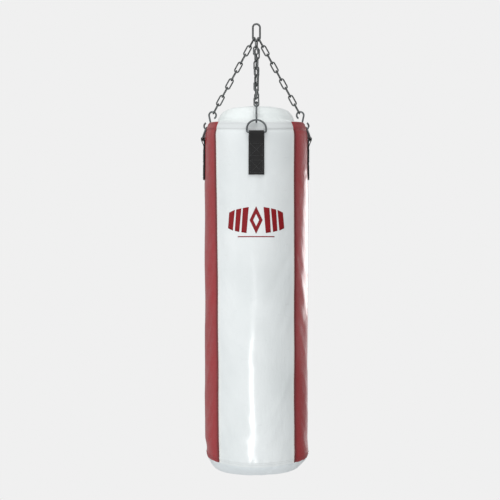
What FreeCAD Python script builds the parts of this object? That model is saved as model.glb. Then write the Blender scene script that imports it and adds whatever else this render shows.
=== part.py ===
import FreeCAD, Part
import math
import os
from FreeCAD import Placement, Rotation, Vector

# Heavy hanging punch bag on four chains. Millimetres, +Z up, front of the bag towards -Y.
# Origin: inside top of the oblong master link, the point that rests on the ceiling hook.

# --- Steel wire goods ---------------------------------------------------------------------------
running_gap = 0.35            # free play left between two pieces of wire that carry each other

master_wire = 6.6
master_inner_length = 51.5
master_inner_width = 17.5

link_wire = 5.0
link_inner_length = 32.35     # 32 mm pitch and the running gap
link_inner_width = 9.4
links_per_chain = 9

hook_wire = 6.0
hook_loop_radius = 12.0       # wire centre line of each loop
hook_tip_sweep = 128.0        # degrees of loop past the crown, round to the open tip

ring_wire = 6.0
ring_width = 62.0             # wire centre lines
ring_height = 43.0
ring_corner = 5.0

# --- Where the wire goods stand -------------------------------------------------------------------
ring_bar_radius = 181.6       # ring bar: distance from the bag axis
ring_bar_z = -390.0
ring_lean = 18.0              # degrees, top of the ring towards the bag axis
hook_crown_radius = 144.0     # bearing point of the last chain link in its S-hook
hook_crown_z = -296.4

# --- Bag body -------------------------------------------------------------------------------------
bag_radius = 175.0
bottom_seam_radius = 172.0
bottom_seam_z = -1468.0
tuck_z = -1430.0              # the panels pull in below this height
shoulder_z = -390.0           # and above this one
rim_radius = 162.0
rim_z = -343.0
skin = 2.5                    # vinyl with its woven backing
foam = 10.0
layer_gap = 0.3
front_panel_angle = 94.0      # degrees round the axis; the side panels take the rest
seam_gap_angle = 0.12

cover_rim_radius = 159.0      # the cover is sewn in at the rim, runs in almost level,
cover_skirt_radius = 132.0    # then stands up into a dome over the filling
cover_skirt_z = -338.0
cover_side_radius = 129.0
cover_side_z = -330.0
cover_knee_radius = 100.0
cover_knee_z = -292.0
cover_crown_z = -287.0
cap_knee_radius = 128.0
cap_knee_z = -1501.0
cap_crown_z = -1513.0
pad_thickness = 24.0

dent_radius = 37.0            # the soft shoulder gives way behind each S-hook
dent_centre_radius = 186.5
dent_centre_z = -343.0

# --- Webbing straps -------------------------------------------------------------------------------
strap_width = 50.0
strap_thickness = 2.8
strap_bottom_z = -526.0
strap_loop_gap = 0.4          # round the ring bar
strap_throat = 24.0           # from the ring bar down to where the two layers meet

# --- Filling zip on the top cover -----------------------------------------------------------------
zip_offset = 45.0             # behind the bag axis
zip_half_angle = 4.8          # along the crown's arc
zip_tape_lift = 0.7           # the flat tape bridges the cover's cross curve
zip_tape_width = 26.0
zip_tape_thickness = 0.9
zip_coil_width = 5.0
zip_coil_height = 1.8
zip_coil_sink = 0.1           # the coil is woven into the tape by this much
slider_angle = -4.0
slider_length = 13.0
slider_width = 9.0
slider_height = 5.5
slider_wall = 1.5
slider_ear_root = 1.0         # how far the ears run down into the slider's body
pull_length = 26.0
pull_width = 7.0
pull_thickness = 1.6
pull_tab_length = 17.0        # the wide end; the rest is the neck
pull_pin_radius = 1.0
pull_pin_gap = 0.08

SIDES = {"front": -90.0, "right": 0.0, "back": 90.0, "left": 180.0}
# Where each first link sits round the master link's bottom bend, the extra play that it needs where
# it meets the wire at a slant, and the extra twist per link that turns the front and back chains a
# quarter turn by the time they reach their S-hooks.
SEAT_ANGLE = {"front": -14.0, "right": 53.0, "back": 14.0, "left": -53.0}
SEAT_SLACK = {"front": 0.3, "right": 1.8, "back": 0.3, "left": 1.8}
EXTRA_TWIST = {"front": 11.25, "right": 0.0, "back": 11.25, "left": 0.0}

O = Vector(0, 0, 0)
X = Vector(1, 0, 0)
Y = Vector(0, 1, 0)
Z = Vector(0, 0, 1)


# --- Directions round the bag ---------------------------------------------------------------------
def outward(side):
    angle = math.radians(SIDES[side])
    return Vector(math.cos(angle), math.sin(angle), 0)


def tangent(side):
    return Z.cross(outward(side))


def at(side, radius, z):
    return outward(side) * radius + Z * z


def placed(shape, origin, x_axis, z_axis):
    """Copy of a shape drawn at the origin, moved so that its X and Z lie on the given axes."""
    copy = shape.copy()
    turn = Rotation(x_axis, z_axis.cross(x_axis), z_axis, "ZXY")
    copy.Placement = Placement(origin, turn).multiply(shape.Placement)
    return copy


# --- Round wire -----------------------------------------------------------------------------------
def line(start, end):
    return Part.LineSegment(start, end).toShape()


def arc(centre, radius, start, end):
    """Arc in the XZ plane, from start to end degrees counted from +X towards +Z."""
    def point(degrees):
        angle = math.radians(degrees)
        return centre + Vector(math.cos(angle), 0, math.sin(angle)) * radius
    return Part.Arc(point(start), point((start + end) / 2), point(end)).toShape()


def round_wire(edges, diameter):
    """A round bar along edges that follow one another smoothly."""
    first = edges[0]
    start = first.valueAt(first.FirstParameter)
    direction = first.tangentAt(first.FirstParameter)
    section = Part.Wire([Part.Circle(start, direction, diameter / 2).toShape()])
    return Part.Wire(edges).makePipeShell([section], True, False)


def oblong_link(wire, inner_length, inner_width):
    """A closed link in the XZ plane, long axis along Z, centred on the origin."""
    bend = (inner_width + wire) / 2
    high = (inner_length + wire) / 2 - bend
    edges = [
        line(Vector(bend, 0, -high), Vector(bend, 0, high)),
        arc(Vector(0, 0, high), bend, 0, 180),
        line(Vector(-bend, 0, high), Vector(-bend, 0, -high)),
        arc(Vector(0, 0, -high), bend, 180, 360),
    ]
    return round_wire(edges, wire)


def master_link():
    centre = Z * (-master_inner_length / 2)
    return placed(oblong_link(master_wire, master_inner_length, master_inner_width), centre, X, Z)


def seat(side):
    """Centre of the master link's wire where this side's first link hangs on the bottom bend."""
    bend = (master_inner_width + master_wire) / 2
    bend_centre_z = bend - master_inner_length - master_wire / 2
    angle = math.radians(SEAT_ANGLE[side])
    return Vector(bend * math.sin(angle), 0, bend_centre_z - bend * math.cos(angle))


# --- Chains ---------------------------------------------------------------------------------------
def link_centres(side):
    """Centres of the links from the top one down, and the direction in which the chain runs."""
    start = seat(side)
    end = at(side, hook_crown_radius, hook_crown_z)
    direction = (end - start).normalize()
    half = link_inner_length / 2
    first = half - master_wire / 2 - running_gap - SEAT_SLACK[side]
    last = (end - start).Length - (half - hook_wire / 2 - running_gap)
    pitch = (last - first) / (links_per_chain - 1)
    centres = [start + direction * (first + pitch * i) for i in range(links_per_chain)]
    return centres, direction


def chain_links(side):
    """The links of one chain, top one first. The last lies across the bag's radius."""
    drawn = oblong_link(link_wire, link_inner_length, link_inner_width)
    centres, direction = link_centres(side)
    up = direction * -1
    across = (tangent(side) - up * tangent(side).dot(up)).normalize()
    links = []
    for number, centre in enumerate(centres, start=1):
        twist = (links_per_chain - number) * (90 + EXTRA_TWIST[side])
        width_axis = Rotation(up, twist).multVec(across)
        links.append(placed(drawn, centre, width_axis, up))
    return links


# --- S-hooks and D-rings --------------------------------------------------------------------------
def ring_top(side):
    lean = math.radians(ring_lean)
    radius = ring_bar_radius - ring_height * math.sin(lean)
    return at(side, radius, ring_bar_z + ring_height * math.cos(lean))


def s_hook(side):
    """Two open loops joined by a straight shank: the upper opens inwards, the lower outwards."""
    crown = at(side, hook_crown_radius, hook_crown_z)
    up = (crown - ring_top(side)).normalize()
    sole = ring_top(side) - up * ((hook_wire + ring_wire) / 2 + running_gap)
    middle = (crown + sole) / 2
    half_pitch = (crown - sole).Length / 2 - hook_loop_radius
    slant = math.degrees(math.asin(hook_loop_radius / half_pitch))
    upper = Z * half_pitch
    lower = Z * -half_pitch
    shank_top = upper + Rotation(Y, slant).multVec(X) * hook_loop_radius
    shank_foot = shank_top * -1
    edges = [
        arc(upper, hook_loop_radius, 90 + hook_tip_sweep, -slant),
        line(shank_top, shank_foot),
        arc(lower, hook_loop_radius, 180 - slant, 270 + hook_tip_sweep),
    ]
    outer = up.cross(tangent(side))
    if outer.dot(outward(side)) < 0:
        outer = outer * -1
    return placed(round_wire(edges, hook_wire), middle, outer, up)


def d_ring(side):
    """Straight bar with rounded corners, closed by a half circle."""
    half = ring_width / 2
    corner = ring_corner
    spring = ring_height - half
    edges = [
        line(Vector(corner - half, 0, 0), Vector(half - corner, 0, 0)),
        arc(Vector(half - corner, 0, corner), corner, -90, 0),
        line(Vector(half, 0, corner), Vector(half, 0, spring)),
        arc(Vector(0, 0, spring), half, 0, 180),
        line(Vector(-half, 0, spring), Vector(-half, 0, corner)),
        arc(Vector(corner - half, 0, corner), corner, 180, 270),
    ]
    bar = at(side, ring_bar_radius, ring_bar_z)
    up = (ring_top(side) - bar).normalize()
    return placed(round_wire(edges, ring_wire), bar, tangent(side), up)


# --- Webbing straps -------------------------------------------------------------------------------
def strap(side):
    """Webbing folded round the ring bar and sewn to the panel through both layers."""
    eye = ring_wire / 2 + strap_loop_gap
    loop = eye + strap_thickness
    face = 2 * strap_thickness - loop
    outline = [
        line(Vector(-loop, 0, strap_bottom_z - ring_bar_z), Vector(-loop, 0, 0)),
        arc(O, loop, 180, 0),
        line(Vector(loop, 0, 0), Vector(face, 0, -strap_throat)),
        line(Vector(face, 0, -strap_throat), Vector(face, 0, strap_bottom_z - ring_bar_z)),
        line(Vector(face, 0, strap_bottom_z - ring_bar_z),
             Vector(-loop, 0, strap_bottom_z - ring_bar_z)),
    ]
    section = Part.Face(Part.Wire(outline))
    webbing = section.extrude(Y * strap_width)
    bore = Part.makeCylinder(eye, strap_width, O, Y)
    webbing = webbing.cut(bore)
    webbing.translate(Y * (-strap_width / 2))
    return placed(webbing, at(side, ring_bar_radius, ring_bar_z), outward(side), Z)


# --- Bag body -------------------------------------------------------------------------------------
def tangent_arc(start, slope, end):
    """Arc in the XZ plane that leaves start along slope and passes through end."""
    chord = end - start
    normal = Vector(slope.z, 0, -slope.x)
    if chord.dot(normal) < 0:
        normal = normal * -1
    radius = chord.Length ** 2 / (2 * chord.dot(normal))
    centre = start + normal * radius
    middle = centre + ((start + end) / 2 - centre).normalize() * radius
    return Part.Arc(start, middle, end).toShape()


def wall_outline(inset):
    """Side of the bag from the bottom seam up to the rim, set in by a distance."""
    tuck = Vector(bag_radius - inset, 0, tuck_z)
    shoulder = Vector(bag_radius - inset, 0, shoulder_z)
    seam = Vector(bottom_seam_radius - inset, 0, bottom_seam_z)
    rim = Vector(rim_radius - inset, 0, rim_z)
    low = tangent_arc(tuck, Z * -1, seam)
    high = tangent_arc(shoulder, Z, rim)
    return [low, line(tuck, shoulder), high], seam, rim


def dome_outline(rim, knee, crown_z, inset, sign):
    """Domed end from the crown on the axis to the rim: a shallow crown and a rounder edge."""
    crown = Vector(0, 0, crown_z - sign * inset)
    knee_in = knee - Z * (sign * inset)
    rim_in = rim - X * inset
    drop = abs(crown.z - knee_in.z)
    radius = (knee_in.x ** 2 + drop ** 2) / (2 * drop)
    lean = math.asin(knee_in.x / radius)
    slope = Vector(math.cos(lean), 0, -sign * math.sin(lean))
    centre = crown - Z * (sign * radius)
    middle = centre + Vector(math.sin(lean / 2), 0, sign * math.cos(lean / 2)) * radius
    return [Part.Arc(crown, middle, knee_in).toShape(), tangent_arc(knee_in, slope, rim_in)]


def crown_radius():
    """Radius of the top cover's shallow crown."""
    drop = cover_crown_z - cover_knee_z
    return (cover_knee_radius ** 2 + drop ** 2) / (2 * drop)


def turned(edges, angle=360.0, start=0.0):
    """Solid of revolution of a closed outline, swept round the bag axis from a start angle."""
    face = Part.Face(Part.Wire(Part.__sortEdges__(edges)))
    face.rotate(O, Z, start)
    return face.revolve(O, Z, angle)


def dents():
    """Hollows that the S-hooks press into the soft shoulder."""
    centres = [at(side, dent_centre_radius, dent_centre_z) for side in SIDES]
    balls = [Part.makeSphere(dent_radius, centre) for centre in centres]
    return balls[0].multiFuse(balls[1:])


def panel(side):
    width = front_panel_angle if side in ("front", "back") else 180 - front_panel_angle
    outer, outer_seam, outer_rim = wall_outline(0)
    inner, inner_seam, inner_rim = wall_outline(skin)
    edges = outer + inner + [line(outer_seam, inner_seam), line(outer_rim, inner_rim)]
    return turned(edges, width - 2 * seam_gap_angle, SIDES[side] - width / 2 + seam_gap_angle)


def between_pads(inset):
    """Solid column inside the wall, from the base pad to the top pad."""
    edges, seam, rim = wall_outline(inset)
    edges += [line(seam, Z * seam.z), line(Z * seam.z, Z * rim.z), line(Z * rim.z, rim)]
    low = bottom_seam_z + pad_thickness + layer_gap
    high = rim_z - pad_thickness - layer_gap
    return turned(edges).common(Part.makeCylinder(bag_radius, high - low, Z * low))


def foam_liner():
    return between_pads(skin + layer_gap).cut(between_pads(skin + layer_gap + foam))


def filling():
    return between_pads(skin + foam + 2 * layer_gap)


def cover_parts(inset):
    side = Vector(cover_side_radius, 0, cover_side_z)
    knee = Vector(cover_knee_radius, 0, cover_knee_z)
    skirt = Vector(cover_skirt_radius - inset, 0, cover_skirt_z - inset)
    rim = Vector(cover_rim_radius, 0, rim_z - inset)
    dome = dome_outline(side, knee, cover_crown_z, inset, 1)
    return dome + [line(side - X * inset, skirt), line(skirt, rim)], rim


def cap_parts(inset):
    rim = Vector(bottom_seam_radius, 0, bottom_seam_z - layer_gap)
    knee = Vector(cap_knee_radius, 0, cap_knee_z)
    return dome_outline(rim, knee, cap_crown_z, inset, -1), rim - X * inset


def shell(parts, crown_z, sign):
    """Domed shell one skin thick."""
    outer, outer_rim = parts(0)
    inner, inner_rim = parts(skin)
    crown = Vector(0, 0, crown_z)
    edges = outer + inner + [line(outer_rim, inner_rim), line(crown, crown - Z * (sign * skin))]
    return turned(edges)


def pad(parts, crown_z, flat_z, sign):
    """Foam disc with a flat back that fills the domed end."""
    inset = skin + layer_gap
    dome, rim = parts(inset)
    crown = Vector(0, 0, crown_z - sign * inset)
    back = Vector(0, 0, flat_z)
    edge = Vector(rim.x, 0, flat_z)
    return turned(dome + [line(rim, edge), line(edge, back), line(back, crown)])


def bag_body():
    hollows = dents()
    nodes = {f"panel_{side}": panel(side) for side in SIDES}
    nodes["foam_liner"] = foam_liner()
    nodes["top_cover"] = shell(cover_parts, cover_crown_z, 1)
    nodes["top_pad"] = pad(cover_parts, cover_crown_z, rim_z - pad_thickness, 1)
    nodes["filling"] = filling()
    nodes = {name: shape.cut(hollows) for name, shape in nodes.items()}
    nodes["base_pad"] = pad(cap_parts, cap_crown_z, bottom_seam_z + pad_thickness, -1)
    nodes["bottom_cap"] = shell(cap_parts, cap_crown_z, -1)
    return nodes


# --- Zip ------------------------------------------------------------------------------------------
def crown_centre():
    return Vector(0, zip_offset, cover_crown_z - crown_radius())


def zip_bar(width, low, high, half_angle):
    """Bar bent along the crown: a slice of a ring about the crown's centre, behind the axis."""
    centre = crown_centre() - Y * (width / 2)
    radius = math.sqrt(crown_radius() ** 2 - zip_offset ** 2)
    ring = Part.makeCylinder(radius + high, width, centre, Y)
    ring = ring.cut(Part.makeCylinder(radius + low, width, centre, Y))
    reach = 2 * crown_radius()
    spread = reach * math.tan(math.radians(half_angle))
    corners = [centre, centre + Vector(spread, 0, reach), centre + Vector(-spread, 0, reach), centre]
    wedge = Part.Face(Part.makePolygon(corners)).extrude(Y * width)
    return ring.common(wedge)


def zipper_tape():
    """Tape and closed coil, sewn along the cover behind the bag axis."""
    top = zip_tape_lift + zip_tape_thickness
    tape = zip_bar(zip_tape_width, zip_tape_lift, top, zip_half_angle)
    coil = zip_bar(zip_coil_width, top - zip_coil_sink, top + zip_coil_height, zip_half_angle)
    return tape.fuse(coil).removeSplitter()


def on_zip(shape):
    """Move a piece drawn at the origin, +Z off the tape, to the slider's place on the arc."""
    radius = math.sqrt(crown_radius() ** 2 - zip_offset ** 2) + zip_tape_lift + zip_tape_thickness
    turn = Rotation(Y, slider_angle)
    place = Placement(crown_centre() + turn.multVec(Z * radius), turn)
    shape.Placement = place.multiply(shape.Placement)
    return shape


def slider_pin():
    """Axis of the pull's pin above the tape, in the slider's own frame."""
    return Vector(0, 0, slider_height + pull_pin_radius + slider_wall + layer_gap)


def zipper_slider():
    block = Part.makeBox(slider_length, slider_width, slider_height - layer_gap,
                         Vector(-slider_length / 2, -slider_width / 2, layer_gap))
    channel_width = zip_coil_width + 2 * layer_gap
    channel_height = zip_coil_height + 2 * layer_gap
    channel = Part.makeBox(slider_length, channel_width, channel_height,
                           Vector(-slider_length / 2, -channel_width / 2, 0))
    ear_size = 2 * (pull_pin_radius + slider_wall)
    pin = slider_pin()
    ears = []
    for y in (-slider_width / 2, slider_width / 2 - slider_wall):
        cheek = Part.makeCylinder(ear_size / 2, slider_wall, Vector(0, y, pin.z), Y)
        foot_z = slider_height - slider_ear_root
        foot = Part.makeBox(ear_size, slider_wall, pin.z - foot_z, Vector(-ear_size / 2, y, foot_z))
        ears += [cheek, foot]
    axle = Part.makeCylinder(pull_pin_radius, slider_width, Vector(0, -slider_width / 2, pin.z), Y)
    return on_zip(block.cut(channel).multiFuse(ears + [axle]).removeSplitter())


def zipper_pull():
    """Flat tab that swings on the slider's pin; it lies back along the zip."""
    pin = slider_pin()
    width = slider_width - 2 * slider_wall - 2 * layer_gap
    knuckle = pull_pin_radius + slider_wall
    low = pin.z - pull_thickness / 2
    neck = Part.makeBox(pull_length / 2, width, pull_thickness,
                        Vector(-pull_length / 2, -width / 2, low))
    tab = Part.makeBox(pull_tab_length, pull_width, pull_thickness,
                       Vector(-pull_length, -pull_width / 2, low))
    eye = Part.makeCylinder(knuckle, width, Vector(0, -width / 2, pin.z), Y)
    bore_radius = pull_pin_radius + pull_pin_gap
    bore = Part.makeCylinder(bore_radius, width, Vector(0, -width / 2, pin.z), Y)
    shape = neck.multiFuse([tab, eye]).cut(bore)
    return on_zip(shape.removeSplitter())


# --- All nodes ------------------------------------------------------------------------------------
def all_nodes():
    chains = {side: chain_links(side) for side in SIDES}
    nodes = {"master_link": master_link()}
    nodes["first_links"] = Part.makeCompound([chains[side][0] for side in SIDES])
    nodes["second_links"] = Part.makeCompound([chains[side][1] for side in SIDES])
    for side in SIDES:
        for number, link in enumerate(chains[side][2:], start=3):
            nodes[f"chain_{side}_link_{number}"] = link
        nodes[f"s_hook_{side}"] = s_hook(side)
        nodes[f"d_ring_{side}"] = d_ring(side)
        nodes[f"strap_{side}"] = strap(side)
    nodes.update(bag_body())
    nodes["zipper_tape"] = zipper_tape()
    nodes["zipper_slider"] = zipper_slider()
    nodes["zipper_pull"] = zipper_pull()
    return nodes


def main():
    os.makedirs("parts", exist_ok=True)
    for name, shape in all_nodes().items():
        shape.exportStep(f"parts/{name}.step")


main()
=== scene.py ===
import math

import bmesh
import bpy
import numpy as np
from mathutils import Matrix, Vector


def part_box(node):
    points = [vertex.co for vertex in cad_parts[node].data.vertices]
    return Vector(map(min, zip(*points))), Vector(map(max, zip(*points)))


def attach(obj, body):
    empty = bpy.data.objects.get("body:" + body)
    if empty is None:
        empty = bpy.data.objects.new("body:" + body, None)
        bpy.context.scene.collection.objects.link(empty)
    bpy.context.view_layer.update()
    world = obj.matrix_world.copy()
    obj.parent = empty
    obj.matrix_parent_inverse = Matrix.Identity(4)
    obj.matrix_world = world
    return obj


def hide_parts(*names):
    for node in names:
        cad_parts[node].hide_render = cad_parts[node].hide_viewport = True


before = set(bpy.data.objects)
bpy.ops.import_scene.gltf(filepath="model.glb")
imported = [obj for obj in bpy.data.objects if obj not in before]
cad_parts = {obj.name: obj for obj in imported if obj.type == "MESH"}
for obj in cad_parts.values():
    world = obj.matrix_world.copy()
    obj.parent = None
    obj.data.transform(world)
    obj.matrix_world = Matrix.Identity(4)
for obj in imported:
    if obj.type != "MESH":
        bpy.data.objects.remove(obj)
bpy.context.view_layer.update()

# Metres, in the CAD frame: +Z up, the bag's front towards -Y, origin at the top of the master link.
# Azimuths are degrees from the front, positive towards +X.
SIDES = {"front": 0.0, "right": 90.0, "back": 180.0, "left": 270.0}

BAG_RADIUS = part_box("panel_right")[1].x
SEAM_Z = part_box("panel_front")[0].z
RIM_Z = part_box("panel_front")[1].z
CROWN_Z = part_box("top_cover")[1].z
CAP_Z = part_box("bottom_cap")[0].z
STRAP_LOW, STRAP_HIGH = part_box("strap_front")
BAR_Z = STRAP_HIGH.z - 0.0062     # the strap's loop stands this far above the middle of the ring's bar

FRONT_HALF = 47.0             # half the width of the white panels, degrees
SEAMS = (FRONT_HALF, 180 - FRONT_HALF, 180 + FRONT_HALF, 360 - FRONT_HALF)
RIM_RADIUS = 0.162
SHOULDER_Z = RIM_Z - 0.047
SEAM_RADIUS = 0.172
TUCK_Z = SEAM_Z + 0.038
HEM_DEPTH = 0.026             # the turned-over band below the rim
SKIN = 0.0012
SEAM_STITCH = 0.0042          # stitch pitch along seams and hems
SEAM_THREAD = 0.0011
FINE_THREAD = 0.0009          # on the straps and the zip

COVER_KNEE = 0.100            # where the top cover's shallow crown turns over into its side
KNEE_DROP = 0.005
# Folds in the top cover's side: azimuth, half width in degrees, depth.
COVER_FOLDS = ((3.0, 7.0, 0.0030), (52.0, 10.0, 0.0018), (-63.0, 6.0, 0.0014),
               (118.0, 6.0, 0.0024), (171.0, 5.0, 0.0020), (222.0, 6.0, 0.0026))

WEBBING = 0.0026              # one layer of strap
STRAP_WIDTH = 0.0496
RING_BAR_RADIUS = 0.1816
BAR_EYE = 0.0034              # inside radius of the loop round the ring's bar
STRAP_THROAT = 0.024          # from the bar down to where the two layers meet
STRAP_BOXES = ((0.006, 0.046), (0.060, 0.100))    # crossed boxes of stitches, above the strap's foot

CAP_KNEE = -1.5035            # height at which the bottom cap turns up into its side
RELIEF_GAIN = 0.2             # share of the simulated relief that shows on the tightly packed wall

ZIP_Y = 0.045
ZIP_HALF = 0.0838
ZIP_TAPE_HALF = 0.013
TOOTH_PITCH = 0.0024

EMBLEM_Z = -0.672
EMBLEM_THETA = -0.3
EMBLEM_HALF = 0.042           # half its height
EMBLEM_SLANT = 0.006
EMBLEM_HOLE = 0.45            # the lozenge's opening, as a share of its size
# Tapering bars: inner and outer edge from the middle, inner and outer half height as shares.
EMBLEM_BARS = ((0.025, 0.0455, 1.0, 0.93), (0.049, 0.068, 0.91, 0.82), (0.0715, 0.0935, 0.8, 0.6))

FLOOR_Z = -2.1
FLOOR_RADIUS = 1.6
BACKDROP = (0.871, 0.871, 0.871, 1.0)
WORLD_TOWARD = (-0.62, -0.40, 0.67)      # the studio is brightest in this direction
WORLD_DARK, WORLD_BRIGHT = 0.33, 1.03

CAMERA_PLACE = (0.0, -3.184, -0.823)
CAMERA_LENS = 67.4
CAMERA_SHIFT = (-0.0128, 0.034)

# Soft lights: name, place, target, width, height, power in watts.
SOFTBOXES = (
    ("key", (-3.0, -1.9, 0.2), (0.0, 0.0, -0.85), 2.0, 3.0, 14.0),
    ("front_strip", (-0.40, -3.2, -1.73), (0.0, 0.0, -1.27), 0.46, 0.76, 27.0),
    ("front_upper", (-0.42, -3.2, -0.93), (0.0, 0.0, -0.9), 0.42, 0.26, 1.6),
    ("top", (0.1, -0.8, 1.2), (0.0, 0.0, -0.33), 1.2, 1.1, 8.5),
    ("right_rim", (1.58, 1.93, -0.69), (0.0, 0.0, -0.69), 1.45, 0.86, 25.0),
    ("right_rim_low", (1.1, 2.2, -1.6), (0.0, 0.0, -1.3), 0.9, 0.9, 1.7),
)


# ------------------------------------------------------------------ small helpers
def smooth(low, high, value):
    t = np.clip((value - low) / (high - low), 0.0, 1.0)
    return t * t * (3 - 2 * t)


def bump(value, width):
    return np.exp(-(value / width) ** 2)


def around(theta, centre):
    """Signed distance in degrees from one azimuth to another, the short way round."""
    return (np.asarray(theta, float) - centre + 180.0) % 360.0 - 180.0


def polar(theta, radius, z):
    """Points from azimuth in degrees, radius and height."""
    theta, radius, z = np.broadcast_arrays(np.radians(theta), radius, z)
    return np.stack([radius * np.sin(theta), -radius * np.cos(theta), z], axis=-1)


def graded(low, high, step, edge, count):
    """Values from low to high, with count of them closing up within edge of both ends."""
    near = edge * np.linspace(0, 1, count, endpoint=False) ** 1.5
    middle = np.linspace(low + edge, high - edge, max(2, int(round((high - low - 2 * edge) / step)) + 1))
    return np.concatenate([low + near, middle, (high - near)[::-1]])


def curve(points, count):
    """A smooth line through points, evenly sampled between them."""
    points = np.asarray(points, float)
    padded = np.vstack([2 * points[0] - points[1], points, 2 * points[-1] - points[-2]])
    t = np.linspace(0, len(points) - 1, count)
    index = np.minimum(t.astype(int), len(points) - 2)
    t = (t - index)[:, None]
    a, b, c, d = (padded[index + k] for k in range(4))
    square, cube = 2 * a - 5 * b + 4 * c - d, 3 * b - a - 3 * c + d
    return 0.5 * (2 * b + (c - a) * t + square * t ** 2 + cube * t ** 3)


def mesh_object(name, points, faces, material, uv=None):
    mesh = bpy.data.meshes.new(name)
    mesh.from_pydata([tuple(p) for p in np.asarray(points, float)], [], [tuple(f) for f in faces])
    mesh.polygons.foreach_set("use_smooth", [True] * len(mesh.polygons))
    if uv is not None:
        layer = mesh.uv_layers.new(name="UVMap")
        loops = np.zeros(len(mesh.loops), int)
        mesh.loops.foreach_get("vertex_index", loops)
        layer.data.foreach_set("uv", np.asarray(uv, float)[loops].ravel())
    mesh.materials.append(material)
    mesh.update()
    thing = bpy.data.objects.new(name, mesh)
    bpy.context.scene.collection.objects.link(thing)
    return thing


def grid_faces(rows, columns, wrap=False):
    r = np.arange(rows - 1)[:, None] * columns
    c = np.arange(columns if wrap else columns - 1)[None, :]
    n = (c + 1) % columns
    return np.stack([r + c, r + n, r + columns + n, r + columns + c], axis=-1).reshape(-1, 4)


def grid_object(name, grid, material, wrap=False, flip=False):
    rows, columns = grid.shape[:2]
    faces = grid_faces(rows, columns, wrap)
    if flip:
        faces = faces[:, ::-1]
    return mesh_object(name, grid.reshape(-1, 3), faces, material)


def thicken(thing, thickness):
    """Give an open sheet its thickness, inward from its surface."""
    solid = thing.modifiers.new("thickness", "SOLIDIFY")
    solid.thickness = thickness
    solid.offset = -1.0
    solid.use_even_offset = False
    return thing


def piece(thing, body, slot, *replaced):
    """Set a finished object on its body and hide the CAD nodes that it stands for. Its finish, slot, is not
    used.
    """
    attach(thing, body)
    if replaced:
        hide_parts(*replaced)
    return thing


# ------------------------------------------------------------------ materials
class Nodes:
    """A material's node tree, with short calls for the nodes that repeat."""

    def __init__(self, name):
        self.material = bpy.data.materials.new(name)
        self.material.use_nodes = True
        self.tree = self.material.node_tree
        self.shader = self.tree.nodes["Principled BSDF"]
        self.object = self.add("ShaderNodeTexCoord").outputs["Object"]
        self.uv = self.add("ShaderNodeUVMap").outputs["UV"]

    def add(self, kind, **inputs):
        node = self.tree.nodes.new(kind)
        self.fill(node, inputs)
        return node

    def fill(self, node, inputs):
        for key, value in inputs.items():
            socket = node.inputs[key.replace("_", " ")]
            if isinstance(value, bpy.types.NodeSocket):
                self.tree.links.new(value, socket)
            else:
                socket.default_value = value

    def surface(self, **inputs):
        self.fill(self.shader, inputs)

    def scaled(self, vector, scale):
        node = self.add("ShaderNodeMapping", Vector=vector)
        node.inputs["Scale"].default_value = scale
        return node.outputs["Vector"]

    def noise(self, scale, detail=3.0, roughness=0.5, vector=None):
        node = self.add("ShaderNodeTexNoise", Vector=vector or self.object, Scale=scale, Detail=detail,
                        Roughness=roughness)
        return node.outputs["Fac"]

    def voronoi(self, scale, feature="F1", vector=None):
        node = self.tree.nodes.new("ShaderNodeTexVoronoi")
        node.feature = feature
        self.fill(node, {"Vector": vector or self.object, "Scale": scale})
        return node.outputs["Distance"]

    def attribute(self, name):
        node = self.tree.nodes.new("ShaderNodeAttribute")
        node.attribute_name = name
        return node.outputs["Fac"]

    def math(self, operation, a, b=0.0):
        node = self.tree.nodes.new("ShaderNodeMath")
        node.operation = operation
        for socket, value in zip(node.inputs, (a, b)):
            if isinstance(value, bpy.types.NodeSocket):
                self.tree.links.new(value, socket)
            else:
                socket.default_value = value
        return node.outputs[0]

    def span(self, value, low, high, to_low, to_high):
        node = self.add("ShaderNodeMapRange", Value=value)
        for socket, number in zip(list(node.inputs)[1:5], (low, high, to_low, to_high)):
            socket.default_value = number
        return node.outputs["Result"]

    def mix(self, factor, a, b):
        node = self.tree.nodes.new("ShaderNodeMix")
        node.data_type = "RGBA"
        for socket, value in ((node.inputs[0], factor), (node.inputs[6], a), (node.inputs[7], b)):
            if isinstance(value, bpy.types.NodeSocket):
                self.tree.links.new(value, socket)
            else:
                socket.default_value = value
        return node.outputs[2]

    def bump(self, height, distance, strength=1.0, normal=None):
        node = self.add("ShaderNodeBump", Height=height, Distance=distance, Strength=strength)
        if normal is not None:
            self.tree.links.new(normal, node.inputs["Normal"])
        return node.outputs["Normal"]


def darker(tone, share):
    return tuple(share * c for c in tone[:3]) + (1.0,)


def lighter(tone, share):
    return tuple(min(1.0, share * c) for c in tone[:3]) + (1.0,)


def colour(red, green, blue):
    """Display values from 0 to 255 as a linear colour."""
    def linear(value):
        value /= 255
        return value / 12.92 if value <= 0.04045 else ((value + 0.055) / 1.055) ** 2.4
    return (linear(red), linear(green), linear(blue), 1.0)


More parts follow.
